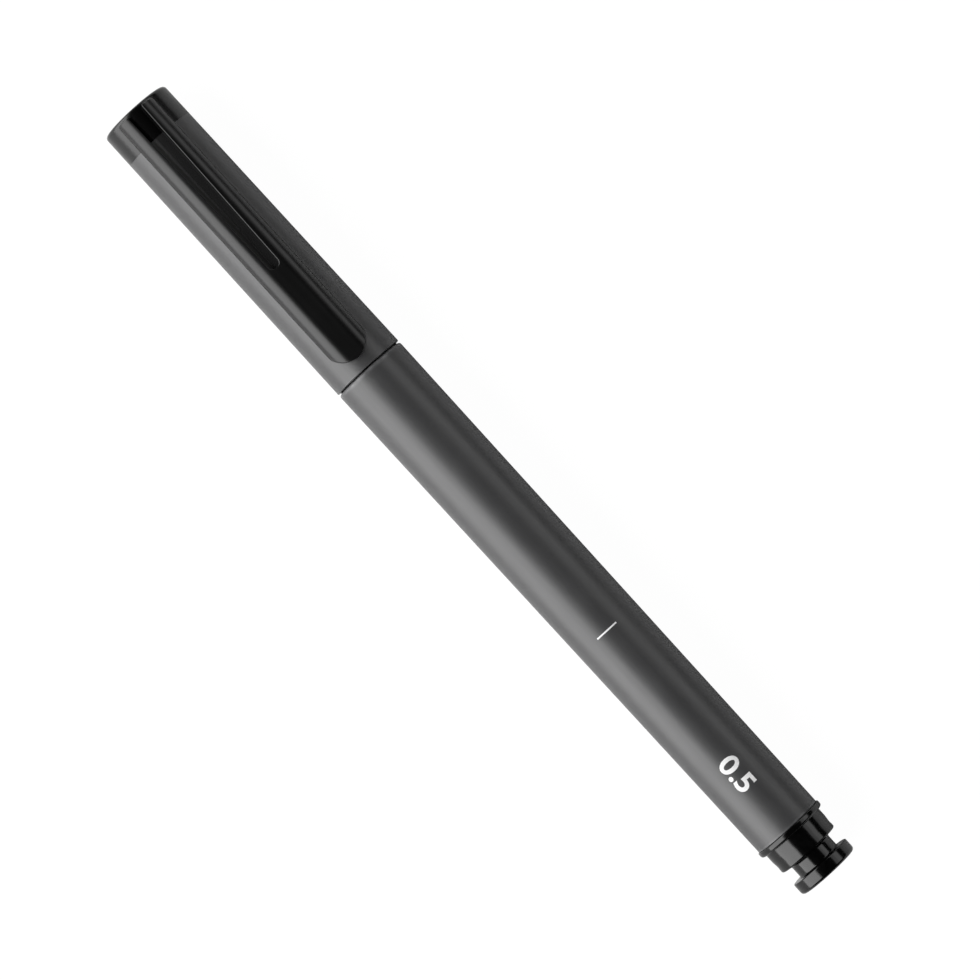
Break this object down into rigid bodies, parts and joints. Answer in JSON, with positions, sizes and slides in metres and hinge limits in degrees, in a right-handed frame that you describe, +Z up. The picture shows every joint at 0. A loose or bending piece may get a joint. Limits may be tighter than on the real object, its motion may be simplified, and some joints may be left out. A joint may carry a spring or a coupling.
{
  "type": "fineliner pen",
  "caption": "Capped fineliner pen with a tapered barrel, a pull-off cap with a sprung slotted clip, and a stepped tail plug that the cap is posted on.",
  "frame": {"origin": "under the middle of the pen, on the surface that it lies on", "axes": "+X along the pen towards its tail, +Z up through the clip, +Y across the pen"},
  "size_m": [0.14, 0.011, 0.0119],
  "materials": {
    "grey_shell": "matt dark grey, fine texture",
    "black_gloss": "gloss black",
    "black_satin": "satin black",
    "holder": "natural, unpainted",
    "steel": "drawn steel tube",
    "nib": "ink-soaked fibre point",
    "wick": "bonded fibre",
    "reservoir": "ink-soaked bonded fibre",
    "film": "thin wrapped film",
    "seal": "soft natural plastic"
  },
  "bodies": {
    "barrel": {"barrel": "grey_shell", "tail_plug": "black_gloss", "grip_section": "black_satin", "nib_holder": "holder", "nib_sleeve": "steel", "nib": "nib", "feed_wick": "wick", "ink_reservoir": "reservoir", "reservoir_film": "film"},
    "cap": {"cap_shell": "grey_shell", "cap_crown": "black_gloss", "inner_cap": "seal"},
    "clip": {"clip": "black_gloss"}
  },
  "joints": [
    {"name": "cap_pull", "type": "slide", "parent": "barrel", "child": "cap", "axis": [-1, 0, 0], "range_m": [0, 0.06]},
    {"name": "clip_flex", "type": "hinge", "parent": "cap", "child": "clip", "pos_m": [-0.06479, 0, 0.01102], "axis": [0, -1, 0], "range_deg": [0, 4], "stiffness_Nm_per_rad": 1}
  ]
}
